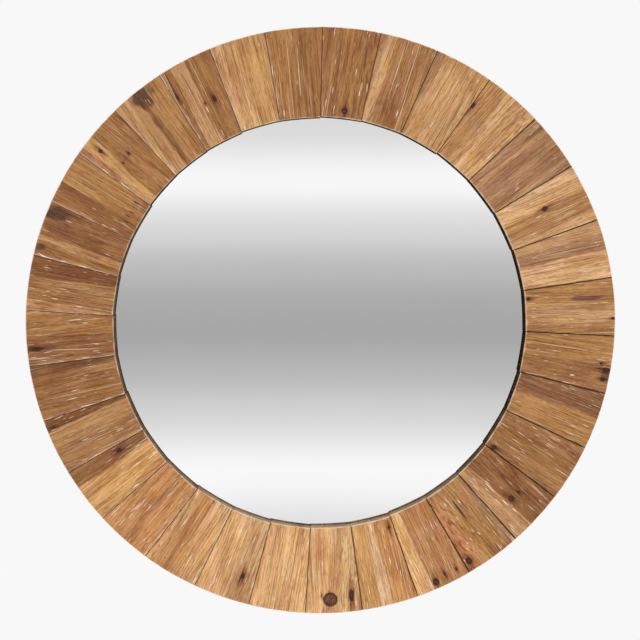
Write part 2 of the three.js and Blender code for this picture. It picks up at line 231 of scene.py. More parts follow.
def planed_softwood():
    """Pine and fir boards, planed and brushed long ago: the soft summer wood is worn back, so
    fine ridges run with the grain, wax gives a low sheen, and pale filler sits in the pores."""
    material, node = new_tree("Old planed softwood")
    grain = node("Attribute", attribute_name="grain").outputs["Vector"]

    # Knots: the grain runs round them, and a dark ring holds their reddish heart
    edge_size = tuple(1 / mm for mm in KNOT_EDGE_PATTERN)
    ragged_size = node("VectorMath MULTIPLY", grain, edge_size)
    ragged = node("TexNoise", {"Vector": ragged_size, "Scale": 1, "Detail": 2})
    wander = node("MapRange", {
        "Value": ragged, "To Min": -KNOT_EDGE_WANDER, "To Max": KNOT_EDGE_WANDER,
    })
    bend = around = inmost = None
    for letter in "abc":
        place = node("Attribute", attribute_name="knot_" + letter).outputs["Vector"]
        parts = node("SeparateXYZ", {"Vector": place})
        beside, radius = parts.outputs["Y"], parts.outputs["Z"]
        flat = node("VectorMath MULTIPLY", place, (1, 1, 0))
        distance = node("VectorMath LENGTH", flat)
        drawn = node("VectorMath MULTIPLY", place, STAIN_LENGTHENED)
        reach = node("VectorMath LENGTH", drawn)
        wide = node("Math MULTIPLY", radius, 1 / WIDE_KNOT)
        wide = node("Math MAXIMUM", wide, 1.0)
        reach = node("Math MULTIPLY", reach, wide)
        squared = node("Math MULTIPLY_ADD", distance, distance, 1.0)
        offset = node("Math MULTIPLY", beside, radius)
        push = node("Math DIVIDE", offset, squared)
        within = node("Math SUBTRACT", 1.0, distance)
        within = node("Math MULTIPLY", within, radius)
        if letter == "a":
            bend, around, inmost = push, reach, within
        else:
            inmost = node("Math MAXIMUM", inmost, within)
            bend = node("Math ADD", bend, push)
            around = node("Math MINIMUM", around, reach)
    ragged_edge = node("Math ADD", inmost, wander)
    ragged_halo = node("Math MULTIPLY_ADD", wander, STAIN_WANDER, around)
    heart = node("MapRange", {"Value": ragged_edge, **KNOT_RING})
    middle = node("MapRange", {"Value": ragged_edge, **KNOT_MIDDLE})
    halo = node("MapRange", {"Value": ragged_halo, **KNOT_STAIN})
    shift = node("Math MULTIPLY", bend, GRAIN_BEND)
    aside = node("CombineXYZ", {"Y": shift})
    bent = node("VectorMath ADD", grain, aside)

    patterns = {}
    for name, (along, across, deep, detail) in GRAIN_PATTERNS.items():
        size = (1 / along, 1 / across, 1 / deep)
        scaled = node("VectorMath MULTIPLY", bent, size)
        patterns[name] = node("TexNoise", {
            "Vector": scaled, "Scale": 1, "Detail": detail, "Roughness": PATTERN_ROUGHNESS,
        })

    # What lies over the bare wood, from below: each layer's mask, its colour and how it blends
    layers = []
    for name, start, full, strength, blend, code in GRAIN_LAYERS:
        mask = node("MapRange", {
            "Value": patterns[name], "From Min": start, "From Max": full, "To Max": strength,
        })
        layers.append((mask, colour(code), blend))

    # Short pale flecks of filler, in patches, more of them where the stave has been rubbed
    amount = node("Attribute", attribute_name="flecks").outputs["Fac"]
    often = node("Math MULTIPLY_ADD", amount, MORE_FLECKS, patterns["flecks"])
    dash = node("MapRange", {"Value": often, **FLECK_EDGE})
    patch = node("MapRange", {"Value": patterns["fleck patches"], **FLECK_PATCH})
    dashes = node("Math MULTIPLY", dash, patch)
    layers.append((dashes, colour("#F6E4CE"), "MIX"))

    # Knots: a purple stain that follows the grain, a dark ring, and a paler middle
    stain = node("Math MULTIPLY", halo, patterns["lines"])
    stain = node("Math MULTIPLY", stain, STAIN_STRENGTH, use_clamp=True)
    layers.append((stain, colour("#94604E"), "MULTIPLY"))
    speckled = node("MapRange", {"Value": patterns["specks"], **HEART_SPECKS})
    lit_middle = node("Math MULTIPLY", middle, speckled)
    heart_tone = node("Mix", {
        "Factor": lit_middle, "A": colour("#2E1815"), "B": colour("#8C5038"),
    }, data_type="RGBA")
    heart_mask = node("Math MULTIPLY", heart, HEART_STRENGTH)
    layers.append((heart_mask, heart_tone, "MIX"))

    # Cracks and long dark streaks, then pale scratches, each as a thin ellipse of its own
    edges = node("MapRange", {"Value": patterns["pores"], **RAGGED_MARK})
    for mark, code in (("crack", "#3B2A20"), ("scratch", "#E6D2B4")):
        place = node("Attribute", attribute_name=mark).outputs["Vector"]
        strength = node("SeparateXYZ", {"Vector": place}).outputs["Z"]
        flat = node("VectorMath MULTIPLY", place, (1, 1, 0))
        distance = node("VectorMath LENGTH", flat)
        ragged = node("Math ADD", distance, edges)
        mask = node("MapRange", {"Value": ragged, **MARK_EDGE})
        layers.append((node("Math MULTIPLY", mask, strength), colour(code), "MIX"))

    # Worn arrises, where the wax is rubbed off and the bare wood is pale
    wear = node("Attribute", attribute_name="wear").outputs["Fac"]
    rubbed = node("Math ADD", patterns["smudges"], wear)
    layers.append((node("MapRange", {"Value": rubbed, **WORN_BARE}), colour("#E6CBB2"), "MIX"))

    # The tone is the wood's colour with its dirt and dust, and with painted shade beside the seams
    # and painted light on the inner ends. Its alpha is how much wax is left.
    tone_and_wax = node("Attribute", attribute_name="tone")
    shade, waxed = tone_and_wax.outputs["Color"], tone_and_wax.outputs["Alpha"]
    for mask, tone, blend in layers:
        shade = node("Mix", {"Factor": mask, "A": shade, "B": tone},
                     data_type="RGBA", blend_type=blend)

    lines, rings = patterns["lines"], patterns["rings"]
    height = node("Math MULTIPLY_ADD", lines, LINES_SINK, rings)
    height = node("Math MULTIPLY_ADD", dashes, FLECKS_SINK, height)
    bump = node("Bump", {"Height": height, **RELIEF})
    sheen = node("MapRange", {"Value": patterns["blotches"], **WAX_SHEEN})
    wax = node("Math MULTIPLY", waxed, WAX_SPECULAR)
    surface = node("BsdfPrincipled", {
        "Base Color": shade, "Roughness": sheen, "Normal": bump, "Specular IOR Level": wax,
    })
    node("OutputMaterial", {"Surface": surface})
    return material


# The staves as they lie, counter-clockwise from the right as seen from the front. Stripes are
# tones, and between them the share of the width where the next one starts. Knots are (share
# across, share along, radius, stretch along the grain), stains (tone, share across, share
# along, half width, half length, strength), and a crack or scratch is the same but its tone.
# Shares across go counter-clockwise and shares along from the inner end to the rim.
# The tones run paler on the staves at the bottom and darker on those at the top. This is partly the
# boards' own tones and partly painted light, which falls brighter on the lower staves.
STAVES = (
    dict(stripes="straw .50 rose .78 biscuit"),
    dict(stripes="straw .13 fawn .57 straw .85 linen", knots=[(.56, .51, 3.4, 1.3)],
         scratch=(.47, .41, .7, 5, .9)),
    dict(stripes="rose .70 biscuit .78 rose", stains=[("umber", .82, .88, 2.5, 20, .7)]),
    dict(stripes="sand .42 straw .52 biscuit .75 fawn", knots=[(.98, .64, 2.5, 2)]),
    dict(stripes="biscuit .22 sand .90 rose", crack=(.22, .20, .6, 27, .7)),
    dict(stripes="nut .75 biscuit .95 rose", scratch=(.55, .65, .6, 42, .6)),
    dict(stripes="oak .58 nut .66 brown .72 nut .83 oak", knots=[(.44, .09, 4.5, 1)],
         stains=[("umber", .12, .85, 10, 25, .5)]),
    dict(stripes="oak .38 nut .50 tan", scratch=(.46, .5, .7, 40, .5)),
    dict(stripes="fawn .10 honey .55 sand"),
    dict(stripes="oak .50 biscuit .82 oak",
         knots=[(.28, .47, 2.8, 1.6), (.50, .47, 1.3, 1), (.94, .66, 1.6, 2)],
         crack=(.93, .80, .8, 26, .8)),
    dict(stripes="tan .59 biscuit",
         stains=[("umber", .52, .52, 4.2, 72, .85), ("coffee", .46, .98, 14, 22, .9)]),
    dict(stripes="oak .68 honey .93 rose",
         knots=[(.73, .81, 3, 1.2), (.40, .56, 1.8, .8), (.62, .53, 1.2, .8)],
         crack=(.46, .54, 12, .5, .6), stains=[("tan", .46, .25, 14, 30, .6)]),
    dict(stripes="tan .60 oak",
         stains=[("umber", .10, .05, 7, 6, .7), ("umber", .90, .05, 6, 6, .7)]
         + [("coffee", share, .15, .95, 3.8, 1) for share in (.14, .26, .40, .52, .66, .78)]),
    dict(stripes="brown .63 fawn .77 oak",
         stains=[("umber", .36, .80, 9, 24, .5), ("coffee", .17, .86, 10, 19, 1),
                 ("coffee", .84, .96, 5, 9, .8)]),
    dict(stripes="umber .33 nut .83 biscuit"),
    dict(stripes="tan .46 brown", knots=[(.70, .88, 2.8, 3.2)], scratch=(.76, .5, .6, 40, .6)),
    dict(stripes="umber .18 oak"),
    dict(stripes="umber .16 fawn .52 nut", knots=[(.16, .91, 1.5, 1.3)]),
    dict(stripes="brown .31 amber", knots=[(.12, .36, 3.2, 1.2)]),
    dict(stripes="orange .40 ginger .60 orange", scratch=(.3, .6, .7, 22, .6)),
    dict(stripes="wheat .08 honey .14 sand .22 orange .53 wheat"),
    dict(stripes="cream .55 straw", knots=[(.75, .69, 3, 1.5)],
         stains=[("nut", .50, .75, 2.2, 35, .7), ("nut", .78, .80, 15, 25, .45)]),
    dict(stripes="wheat .45 cream"),
    dict(stripes="wheat .55 straw .62 sand .72 straw",
         knots=[(.44, .84, 10.2, 1), (.84, .80, 4, 2.1), (.28, .79, 1.3, 1.5)]),
    dict(stripes="amber .33 linen .55 orange", knots=[(.90, .12, 2, 1.3)]),
    dict(stripes="cream .27 ginger",
         knots=[(.39, .92, 4.6, 1.2), (.83, .88, 1.8, 1.2), (.60, .87, 1.7, 1.6)]),
    dict(stripes="ginger .30 tan .86 rose", knots=[(.09, .87, 4.6, 1.1)],
         crack=(.5, .33, 1.6, 19, .95)),
    dict(stripes="biscuit .35 brown", knots=[(.46, .63, 4, 1.2), (.65, .64, 1.6, 1)],
         scratch=(.9, .8, .6, 26, .7)),
    dict(stripes="nut .25 oak .70 nut", knots=[(.07, .10, 3.6, 1)]),
    dict(stripes="tan .56 mauve"),
    dict(stripes="nut .45 tan",
         knots=[(.40, .95, 4, 1.3), (.22, .93, 2.6, 1.2), (.50, .88, 2.0, 1.2)],
         stains=[("coffee", .31, .96, 10, 8, .8)]),
    dict(stripes="nut .20 biscuit .60 tan", knots=[(.79, .04, 2.8, 1), (.3, .98, 1.8, 1)],
         stains=[("plum", .70, .66, 2.8, 20, .9)]),
)

# The face's grid in cells, and the steps in mm that round its arrises and go down its walls
ACROSS_CELLS = 64
ALONG_CELLS = 44
ARRIS_STEPS = (0, 0.1, 0.25, 0.45, 0.7, 1.0, 1.4)
WALL_STEPS = (0.25, 0.6, 1)

# In millimetres: the hollow of a sawn end, the arris's round, how far the face lies under the
# CAD's, its hollow at most, and how far dirt stays back from the middle of a seam
END_HOLLOW = 0.8
ARRIS = 0.8
ARRIS_LIMITS = (0.35, 1.35)
FACE_DEPTH = 0.27
FACE_HOLLOW = 0.12
DIRT_SETBACK = 0.03
# The same steps from stave to stave as the CAD's: the angle in radians that each one adds
FACE_STEP_PACE = 2.4

# The pith that the growth rings run about: how far it is beside and below the board in mm, and
# what its depth and the rings gain for each mm along and across; then each stave's own start
PITH_BESIDE = (25, 110)
PITH_BELOW = (20, 70)
PITH_TILT = 0.06
RING_LEAN = 0.035
RING_SLANT = 0.3
GRAIN_START = (517.0, 211.0, 0)

# The share of the width over which a stripe begins, the share of its mean width that a stave
# has at its inner end and gains to its rim, a stain's reach and fading in its own half sizes,
# and the wood's mean lightness
STRIPE_EDGE = 0.022
TAPER = (0.82, 0.36)
STAIN_REACH, STAIN_FADE = 1.3, 0.6
LIGHTNESS = 1.03

# Dirt, wear and painted shade: strengths from 0 to 1, and reaches in millimetres. On the right
# painted shade darkens both sides of a seam. On the left it darkens one, and the other is worn
# pale and dusty.
RIGHT_SEAM_SHADE, LEFT_SEAM_SHADE, SEAM_SHADE_REACH = 0.5, 0.45, 0.8
DUST, DUST_REACH, DUST_PATCHES = 0.7, 3.2, (16, 50)
SEAM_DIRT, END_GRAIN_DARKENING = 0.7, 0.18
BELOW_ARRIS, DIRT_FADE, ON_EDGE = 1.2, 0.8, 0.01
# Wear of the sides, the inner end and the rim: strength, what the left adds to it, and reach
SIDE_WEAR = (0.10, 0.45, 1.0)
INNER_WEAR = (0.62, -0.12, 1.5)
RIM_WEAR = (0.62, 0.14, 1.1)
WEAR_DEPTH = 0.7

# How thick the pale flecks lie: everywhere, more toward the bottom and on two diagonals, and
# along the left's pale seams. They end half a millimetre below the arrises.
FLECKS, BOTTOM_FLECKS, DIAGONAL_FLECKS = 0.40, 0.27, 0.08
SEAM_FLECKS, SEAM_FLECKS_REACH, FLECKS_DEPTH = 1.3, 3.5, 0.5

# A knot or mark that a stave doesn't have lies this many of its own sizes away
FAR_AWAY = 90

# Each kind of unevenness: its amount, its waves' lengths in mm along and across the grain, and
# where it starts, for each stave and across
UNEVENNESS = {
    "stripe sway": (0.022, 38, 9, 5, 0),
    "stripe tremble": (0.012, 11, 4, 3, 40),
    "stain edge": (0.45, 12, 5, 7, 0),
    "lightness": (0.06, 30, 14, 11, 9),
    "arris sway": (0.35, 14, 1, 9, 0),
    "arris tremble": (0.2, 4, 1, 9, 7),
    "brushed ridges": (0.09, 45, 1.7, 4, 0),
    "brushed furrows": (0.06, 20, 3.1, 4, 30),
    "planing": (0.10, 35, 24, 2, 60),
    "ring sway": (0.5, 70, 16, 13, 0),
    "ring tremble": (0.05, 13, 9, 13, 20),
}
# Where the second arris of a stave starts, so that it wanders unlike the first
OTHER_SIDE = 50

LATTICE_SIZE = 128
LATTICE = np.random.default_rng(11).uniform(-1, 1, (LATTICE_SIZE, LATTICE_SIZE))


def waves(x, y):
    """Smooth unevenness from -1 to 1 over a plane, one wave to a unit."""
    column, row = np.floor(x).astype(int), np.floor(y).astype(int)
    u, v = x - column, y - row
    u, v = u * u * (3 - 2 * u), v * v * (3 - 2 * v)
    left, right = column % LATTICE_SIZE, (column + 1) % LATTICE_SIZE
    lower, upper = row % LATTICE_SIZE, (row + 1) % LATTICE_SIZE
    low = LATTICE[left, lower] * (1 - u) + LATTICE[right, lower] * u
    high = LATTICE[left, upper] * (1 - u) + LATTICE[right, upper] * u
    return low * (1 - v) + high * v


def uneven(kind, index, x, y):
    """One kind of a stave's unevenness, at points along and across it."""
    amount, along_mm, across_mm, stave_start, start = UNEVENNESS[kind]
    return amount * waves(x / along_mm + stave_start * index, y / across_mm + start)


def near(distance, reach):
    """1 on a line, fading away from it to about a third at its reach."""
    return np.exp(-(distance / reach) ** 2)


def toward(angle, direction, steepness, start=0):
    """How far a stave lies toward a direction in degrees, from 0 to 1."""
    return min(max(start + steepness * math.cos(angle - math.radians(direction)), 0), 1)


def linear(code):
    """A hex colour's linear red, green and blue, to reckon with."""
    return np.array(colour(code)[:3])


def stave_corners(node):
    """The angles of a stave's two rim corners, then its two inner corners on its back, in mm."""
    back = {
        (round(v.co.x / MM, 3), round(v.co.z / MM, 3))
        for v in node.data.vertices if abs(v.co.y / MM + STAVE_BACK) < 0.01
    }
    rim = [p for p in back if math.hypot(*p) > RING_RADIUS - 0.05]
    inner = [p for p in back if p not in rim]
    middle = math.atan2(sum(p[1] for p in rim), sum(p[0] for p in rim))
    angles = [(math.atan2(p[1], p[0]) - middle + math.pi) % (2 * math.pi) - math.pi for p in rim]
    inner.sort(key=lambda p: p[1] * math.cos(middle) - p[0] * math.sin(middle))
    return middle + min(angles), middle + max(angles), np.array(inner[0]), np.array(inner[-1])


class Stave:
    """A stave's outline in the plane of the ring, in millimetres, and its marks."""

    def __init__(self, index):
        self.index = index
        self.number = f"{index + 1:02d}"
        self.marks = STAVES[index]
        node = nodes["stave_" + self.number]
        self.low, self.high, self.back_low, self.back_high = stave_corners(node)
        self.middle = (self.low + self.high) / 2
        rim_low, rim_high, rim_middle = (
            RING_RADIUS * np.array([math.cos(a), math.sin(a)])
            for a in (self.low, self.high, self.middle)
        )
        along_axis = rim_low + rim_high - self.back_low - self.back_high
        along_axis /= np.linalg.norm(along_axis)
        self.along_axis = along_axis
        self.across_axis = np.array([-along_axis[1], along_axis[0]])
        slant = END_SLANT * (1 + END_SLANT_SWING * math.cos(2 * self.middle))
        self.inner_low, self.inner_high = (
            corner + (rim - corner) * slant / np.dot(rim - corner, along_axis)
            for corner, rim in ((self.back_low, rim_low), (self.back_high, rim_high))
        )
        self.inner_middle = (self.inner_low + self.inner_high) / 2
        self.length = float(np.dot(rim_middle - self.inner_middle, along_axis))
        self.inner_width = float(np.linalg.norm(self.inner_high - self.inner_low))
        self.rim_width = RING_RADIUS * (self.high - self.low)
        self.face_drop = FACE_STEP * (0.5 + 0.5 * math.sin(FACE_STEP_PACE * index))
        # From 0 on the ring's right to 1 on its left, where the seams' edges are worn pale
        self.leftness = toward(self.middle, 172, 1.6, 0.3)

    def width(self, t):
        """The width at a share of the length."""
        return self.inner_width + (self.rim_width - self.inner_width) * t


def spaced(length, cells):
    """Distances along a length, close together at both ends for the rounded arrises."""
    ends = np.array(ARRIS_STEPS)
    between = np.linspace(ends[-1], length - ends[-1], cells + 1)[1:-1]
    return np.concatenate([ends, between, length - ends[::-1]])


def mesh_of(name, points, faces):
    mesh = bpy.data.meshes.new(name)
    mesh.from_pydata([tuple(p) for p in points], [], [tuple(int(i) for i in f) for f in faces])
    mesh.validate()
    mesh.polygons.foreach_set("use_smooth", [True] * len(mesh.polygons))
    return mesh


def set_attribute(mesh, name, kind, values):
    attribute = mesh.attributes.new(name, kind, "POINT")
    key = {"FLOAT": "value", "FLOAT_VECTOR": "vector", "FLOAT_COLOR": "color"}[kind]
    attribute.data.foreach_set(key, np.asarray(values, np.float32).ravel())


def add_piece(name, mesh, material, stands_for, body="mirror"):
    """A finished piece that stands for CAD nodes and rides on a body."""
    mesh.materials.append(material)
    piece = bpy.data.objects.new(name, mesh)
    scene.collection.objects.link(piece)
    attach(piece, body)
    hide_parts(*stands_for)
    return piece


def face_grid(stave):
    """The shares across and along the face, its plan, and the hollow of its inner end. The side
    columns keep their distance from the seams in millimetres."""
    along = spaced(stave.length, ALONG_CELLS) / stave.length
    widths = [stave.width(t) for t in along]
    s = np.array([spaced(width, ACROSS_CELLS) / width for width in widths])
    t = np.repeat(along[:, None], s.shape[1], axis=1)
    angle = stave.low + (stave.high - stave.low) * s
    at_rim = RING_RADIUS * np.stack([np.cos(angle), np.sin(angle)], axis=-1)
    hollow = END_HOLLOW * (1 - (2 * s[..., None] - 1) ** 2) * stave.along_axis
    at_end = stave.inner_low + (stave.inner_high - stave.inner_low) * s[..., None] + hollow
    return s, t, at_end + (at_rim - at_end) * t[..., None], hollow[0]


def face_depth(stave, rng, s, t, x, y):
    """How deep the face lies: rounded arrises that wander, and a hollowed and brushed middle."""
    index = stave.index
    from_side = np.minimum(s, 1 - s) * stave.width(t)
    from_end = np.minimum(t, 1 - t) * stave.length
    side = np.where(s < 0.5, 0, OTHER_SIDE)
    arris = ARRIS + uneven("arris sway", index, x, side) + uneven("arris tremble", index, x, side)
    arris = np.clip(arris, *ARRIS_LIMITS)
    inside = np.hypot(np.maximum(arris - from_side, 0), np.maximum(arris - from_end, 0))
    inside = np.minimum(inside, arris)
    drop = arris - np.sqrt(np.maximum(arris ** 2 - inside ** 2, 0))
    hollow = rng.uniform(-FACE_HOLLOW, FACE_HOLLOW) * (1 - (2 * s - 1) ** 2)
    brushed = uneven("brushed ridges", index, x, y) + uneven("brushed furrows", index, x, y)
    planed = uneven("planing", index, x, y)
    return stave.face_drop + drop + FACE_DEPTH + hollow + brushed + planed


def filled_gap(angle):
    """How far a stave's side reaches into the seam below its arris, where old dirt fills it."""
    swing = SEAM_GAP_SWING * math.cos(angle - WIDEST_SEAM_ANGLE)
    return SEAM_GAP / 2 * (1 + swing) - DIRT_SETBACK


def close_body(stave, s, plan, depth, end_hollow):
    """Adds walls and a back to the face. Gives the faces, the plan and depth of every point, and
    the point of the face that each one stands under."""
    rows, columns = s.shape
    grid = np.arange(rows * columns).reshape(rows, columns)
    quads = [grid[:-1, :-1], grid[:-1, 1:], grid[1:, 1:], grid[1:, :-1]]
    faces = [tuple(f) for f in np.stack(quads, axis=-1).reshape(-1, 4)]
    outline = np.concatenate([grid[0, :-1], grid[:-1, -1], grid[-1, :0:-1], grid[:0:-1, 0]])
    following = np.roll(np.arange(len(outline)), -1)
    plan, depth = plan.reshape(-1, 2), depth.ravel()
    back_plan = plan.copy()
    back_end = stave.back_low + (stave.back_high - stave.back_low) * s[0][:, None]
    back_plan[grid[0]] = back_end + end_hollow
    packed = np.zeros_like(plan)
    packed[grid[:, 0]] = -stave.across_axis * filled_gap(stave.low)
    packed[grid[:, -1]] = stave.across_axis * filled_gap(stave.high)
    plans, depths, source = [plan], [depth], [np.arange(depth.size)]
    above = outline
    for share in WALL_STEPS:
        wall = plan[outline] * (1 - share) + back_plan[outline] * share
        plans.append(wall + packed[outline])
        depths.append(depth[outline] * (1 - share) + (STAVE_FRONT - STAVE_BACK) * share)
        below = sum(len(part) for part in source) + np.arange(len(outline))
        source.append(outline)
        quads = [above, below, below[following], above[following]]
        faces += [tuple(f) for f in np.stack(quads, axis=-1)]
        above = below
    faces.append(tuple(above[::-1]))
    return faces, np.concatenate(plans), np.concatenate(depths), np.concatenate(source)


def grain_field(stave, rng, x, y, depth):
    """Growth rings about a pith below and beside the board, leaning a little along it."""
    pith_side = rng.choice([-1, 1]) * rng.uniform(*PITH_BESIDE)
    pith_depth = rng.uniform(*PITH_BELOW) + rng.uniform(-PITH_TILT, PITH_TILT) * x
    lean = rng.uniform(-RING_LEAN, RING_LEAN)
    ring = np.hypot(y + lean * x - pith_side, depth + pith_depth)
    for kind in ("ring sway", "ring tremble"):
        ring = ring + uneven(kind, stave.index, x, y)
    field = np.stack([x, ring, depth + RING_SLANT * y], axis=-1)
    return field + np.array(GRAIN_START) * stave.index


def bare_tone(stave, x, y):
    """The colour of the bare wood: its stripes, and the stains over them, as linear colours."""
    index = stave.index
    width = (stave.inner_width + stave.rim_width) / 2
    share = y / width + 0.5
    wobble = uneven("stripe sway", index, x, y) + uneven("stripe tremble", index, x, y)
    first, *others = stave.marks["stripes"].split()
    tone = np.tile(linear(TONES[first]), (len(share), 1))
    for start, name in zip(others[::2], others[1::2]):
        mix = np.clip((share + wobble - float(start)) / STRIPE_EDGE + 0.5, 0, 1)[:, None]
        tone = tone * (1 - mix) + linear(TONES[name]) * mix
    for name, s, t, half_width, half_length, strength in stave.marks.get("stains", ()):
        reach = np.hypot(
            (y - (s - 0.5) * width * (TAPER[0] + TAPER[1] * t)) / half_width,
            (x - t * stave.length) / half_length,
        ) + uneven("stain edge", index, x, y)
        mix = strength * np.clip((STAIN_REACH - reach) / STAIN_FADE, 0, 1)[:, None]
        tone = tone * (1 - mix) + linear(TONES[name]) * mix
    lightness = LIGHTNESS + uneven("lightness", index, x, y)
    return tone * lightness[:, None] * TONE_TRIM


def edge_distances(stave, s, t):
    """How far points lie from the nearer side, the inner end and the rim, in mm, and how much
    each is on the side of its stave that the ring's left has worn pale."""
    to_side = np.minimum(s, 1 - s) * stave.width(t)
    return to_side, t * stave.length, (1 - t) * stave.length, stave.leftness * (s > 0.5)


def tone_with_wear_and_painted_light(stave, s, x, y, below, to_side, to_inner, to_rim, pale_side):
    """The wood's colour with its dirt and dust, the painted shade beside its seams and the painted
    light on its inner ends, and as its alpha how much wax is left on it.
    """
    under = np.clip(below / DIRT_FADE, 0, 1)
    tone = bare_tone(stave, x, y)

    # Painted shade beside the seams, then dust over the worn side of those on the left
    seam_shade = RIGHT_SEAM_SHADE * toward(stave.middle, -19, 1.6) + LEFT_SEAM_SHADE * stave.leftness * (s < 0.5)
    tone = tone * (1 - seam_shade * near(to_side, SEAM_SHADE_REACH))[:, None]
    patchy = 0.6 + 0.6 * waves(x / DUST_PATCHES[0], x / DUST_PATCHES[1] + stave.index)
    dusted = DUST * pale_side * near(to_side, DUST_REACH) * patchy
    tone = tone + (linear("#D9AF98") - tone) * dusted[:, None]

    # Dirt down in the seams; then painted light on the inner ends, paler the more an end faces up
    # and a little paler as it faces right, with some dust on those that look up; and end grain
    in_seam = under * (to_side < ON_EDGE) * (to_rim > ON_EDGE)
    tone = tone * (1 - SEAM_DIRT * in_seam)[:, None]
    looking_up = max(-math.sin(stave.middle), 0) ** 3
    end_light_and_dust = min(0.13 - 0.13 * math.cos(stave.middle) + 1.1 * looking_up, 1.1)
    end_tone = linear("#2A1D12") * (1 - end_light_and_dust) + linear("#B5A48C") * end_light_and_dust
    inner_end = under * (to_inner < ON_EDGE)
    tone = tone * (1 - inner_end[:, None]) + end_tone * inner_end[:, None]
    tone = tone * (1 - END_GRAIN_DARKENING * under * (to_rim < ON_EDGE))[:, None]
    return np.column_stack([tone, 1 - np.maximum(inner_end, in_seam)])


def mark_fields(stave, x, y):
    """Each knot, crack and scratch as a field: how many of its own half sizes a point lies from
    it, along and across, and then a knot's radius or a mark's strength."""
    marks = {
        "knot_" + letter: (s, t, radius, radius * stretch, radius)
        for letter, (s, t, radius, stretch) in zip("abc", stave.marks.get("knots", ()))
    } | stave.marks
    for name in ("knot_a", "knot_b", "knot_c", "crack", "scratch"):
        if name in marks:
            s, t, half_width, half_length, last = marks[name]
            to_x, to_y = t * stave.length, (s - 0.5) * stave.width(t)
            parts = [(x - to_x) / half_length, (y - to_y) / half_width, np.full(len(x), last)]
            yield name, np.stack(parts, axis=-1)
        else:
            yield name, np.tile((FAR_AWAY, FAR_AWAY, "knot" in name), (len(x), 1))


def wear_field(stave, below, to_side, to_inner, to_rim, pale_side):
    """Wear is strongest on the arrises of the ends, and along the seams on the left."""
    wear = 0
    for distance, leftness, (strength, left_adds, reach) in (
        (to_side, pale_side, SIDE_WEAR),
        (to_inner, stave.leftness, INNER_WEAR),
        (to_rim, stave.leftness, RIM_WEAR),
    ):
        wear = np.maximum(wear, (strength + left_adds * leftness) * near(distance, reach))
    return wear * near(np.maximum(below, 0), WEAR_DEPTH)


def fleck_field(stave, below, to_side, to_inner, to_rim, pale_side):
    """How thick the pale flecks lie on the face and its arrises."""
    everywhere = FLECKS + BOTTOM_FLECKS * (1 - math.sin(stave.middle))
    everywhere += DIAGONAL_FLECKS * math.sin(2 * stave.middle)
    beside_seam = SEAM_FLECKS * pale_side * near(to_side, SEAM_FLECKS_REACH)
    return (everywhere + beside_seam) * (below < FLECKS_DEPTH)


def build_stave(index, wood):
    """A stave as a piece, with the fields that its wood reads."""
    stave = Stave(index)
    rng = np.random.default_rng(100 + index)
    s, t, plan, end_hollow = face_grid(stave)
    x = (plan - stave.inner_middle) @ stave.along_axis
    y = (plan - stave.inner_middle) @ stave.across_axis
    depth = face_depth(stave, rng, s, t, x, y)
    faces, plan, depth, source = close_body(stave, s, plan, depth, end_hollow)
    s, t, x, y = (values.ravel()[source] for values in (s, t, x, y))
    points = np.stack([plan[:, 0], depth - STAVE_FRONT, plan[:, 1]], axis=-1) * MM
    mesh = mesh_of("wood_stave_" + stave.number, points, faces)

    below = depth - stave.face_drop - BELOW_ARRIS
    edges = edge_distances(stave, s, t)
    set_attribute(mesh, "grain", "FLOAT_VECTOR", grain_field(stave, rng, x, y, depth))
    set_attribute(mesh, "tone", "FLOAT_COLOR", tone_with_wear_and_painted_light(stave, s, x, y, below, *edges))
    for name, field in mark_fields(stave, x, y):
        set_attribute(mesh, name, "FLOAT_VECTOR", field)
    set_attribute(mesh, "wear", "FLOAT", wear_field(stave, below, *edges))
    set_attribute(mesh, "flecks", "FLOAT", fleck_field(stave, below, *edges))
    add_piece("wood_stave_" + stave.number, mesh, wood, ["stave_" + stave.number])


# ---------- Turned pieces ----------


def eased(corners, steps=5):
    """A profile whose corners (radius, depth, easing) are rounded, as (radius, depth)."""
    profile = []
    count = len(corners)
    for place, (radius, depth, easing) in enumerate(corners):
        here = np.array([radius, depth], float)
        if not easing:
            profile.append(here)
            continue
        before = np.array(corners[place - 1][:2], float)
        after = np.array(corners[(place + 1) % count][:2], float)
        start = here + easing * (before - here) / np.linalg.norm(before - here)
        end = here + easing * (after - here) / np.linalg.norm(after - here)
        for u in np.linspace(0, 1, steps + 1):
            profile.append((1 - u) ** 2 * start + 2 * u * (1 - u) * here + u ** 2 * end)
    return profile


def turned(name, profile, segments, centre=(0, 0), closed=False):
    """A piece turned about the y axis. The profile is (radius, depth from the wall), in mm."""
    points, rings = [], []
    for radius, depth in profile:
        if radius < 1e-6:
            rings.append([len(points)] * segments)
            points.append((centre[0], -depth, centre[1]))
            continue
        rings.append(list(range(len(points), len(points) + segments)))
        for step in range(segments):
            angle = 2 * math.pi * step / segments
            beside, above = radius * math.cos(angle), radius * math.sin(angle)
            points.append((centre[0] + beside, -depth, centre[1] + above))
    faces = []
    pairs = list(zip(rings, rings[1:]))
    if closed:
        pairs.append((rings[-1], rings[0]))
    for first, second in pairs:
        for step in range(segments):
            following = (step + 1) % segments
            corners = [first[step], first[following], second[following], second[step]]
            face = list(dict.fromkeys(corners))
            if len(face) > 2:
                faces.append(face)
    mesh = mesh_of(name, np.array(points) * MM, faces)
    tidy(mesh)
    return mesh


def tidy(mesh, sharp=40):
    """Turns the faces outward and keeps the real edges crisp."""
    work = bmesh.new()
    work.from_mesh(mesh)
    bmesh.ops.recalc_face_normals(work, faces=work.faces)
    work.to_mesh(mesh)
    work.free()
    mesh.set_sharp_from_angle(angle=math.radians(sharp))


